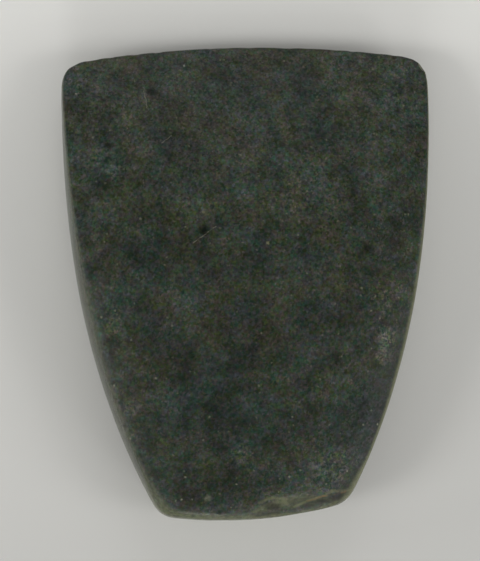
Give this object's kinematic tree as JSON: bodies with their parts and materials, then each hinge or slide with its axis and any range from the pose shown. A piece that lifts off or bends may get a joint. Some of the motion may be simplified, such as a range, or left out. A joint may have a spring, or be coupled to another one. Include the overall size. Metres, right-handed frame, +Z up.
{
  "type": "stone axe head",
  "caption": "Squat polished stone axe head with a broad convex cutting edge, narrow ground sides and a small worn butt; it lies on one face.",
  "frame": {"origin": "on the resting plane, below the middle of the head's outline", "axes": "+Y toward the cutting edge, +X to the right with the edge away and the head seen from above, +Z up through the thickness"},
  "size_m": [0.0546, 0.07, 0.0138],
  "materials": {
    "greenstone": "satin"
  },
  "bodies": {
    "root": {"axe_head": "greenstone"}
  },
  "joints": []
}
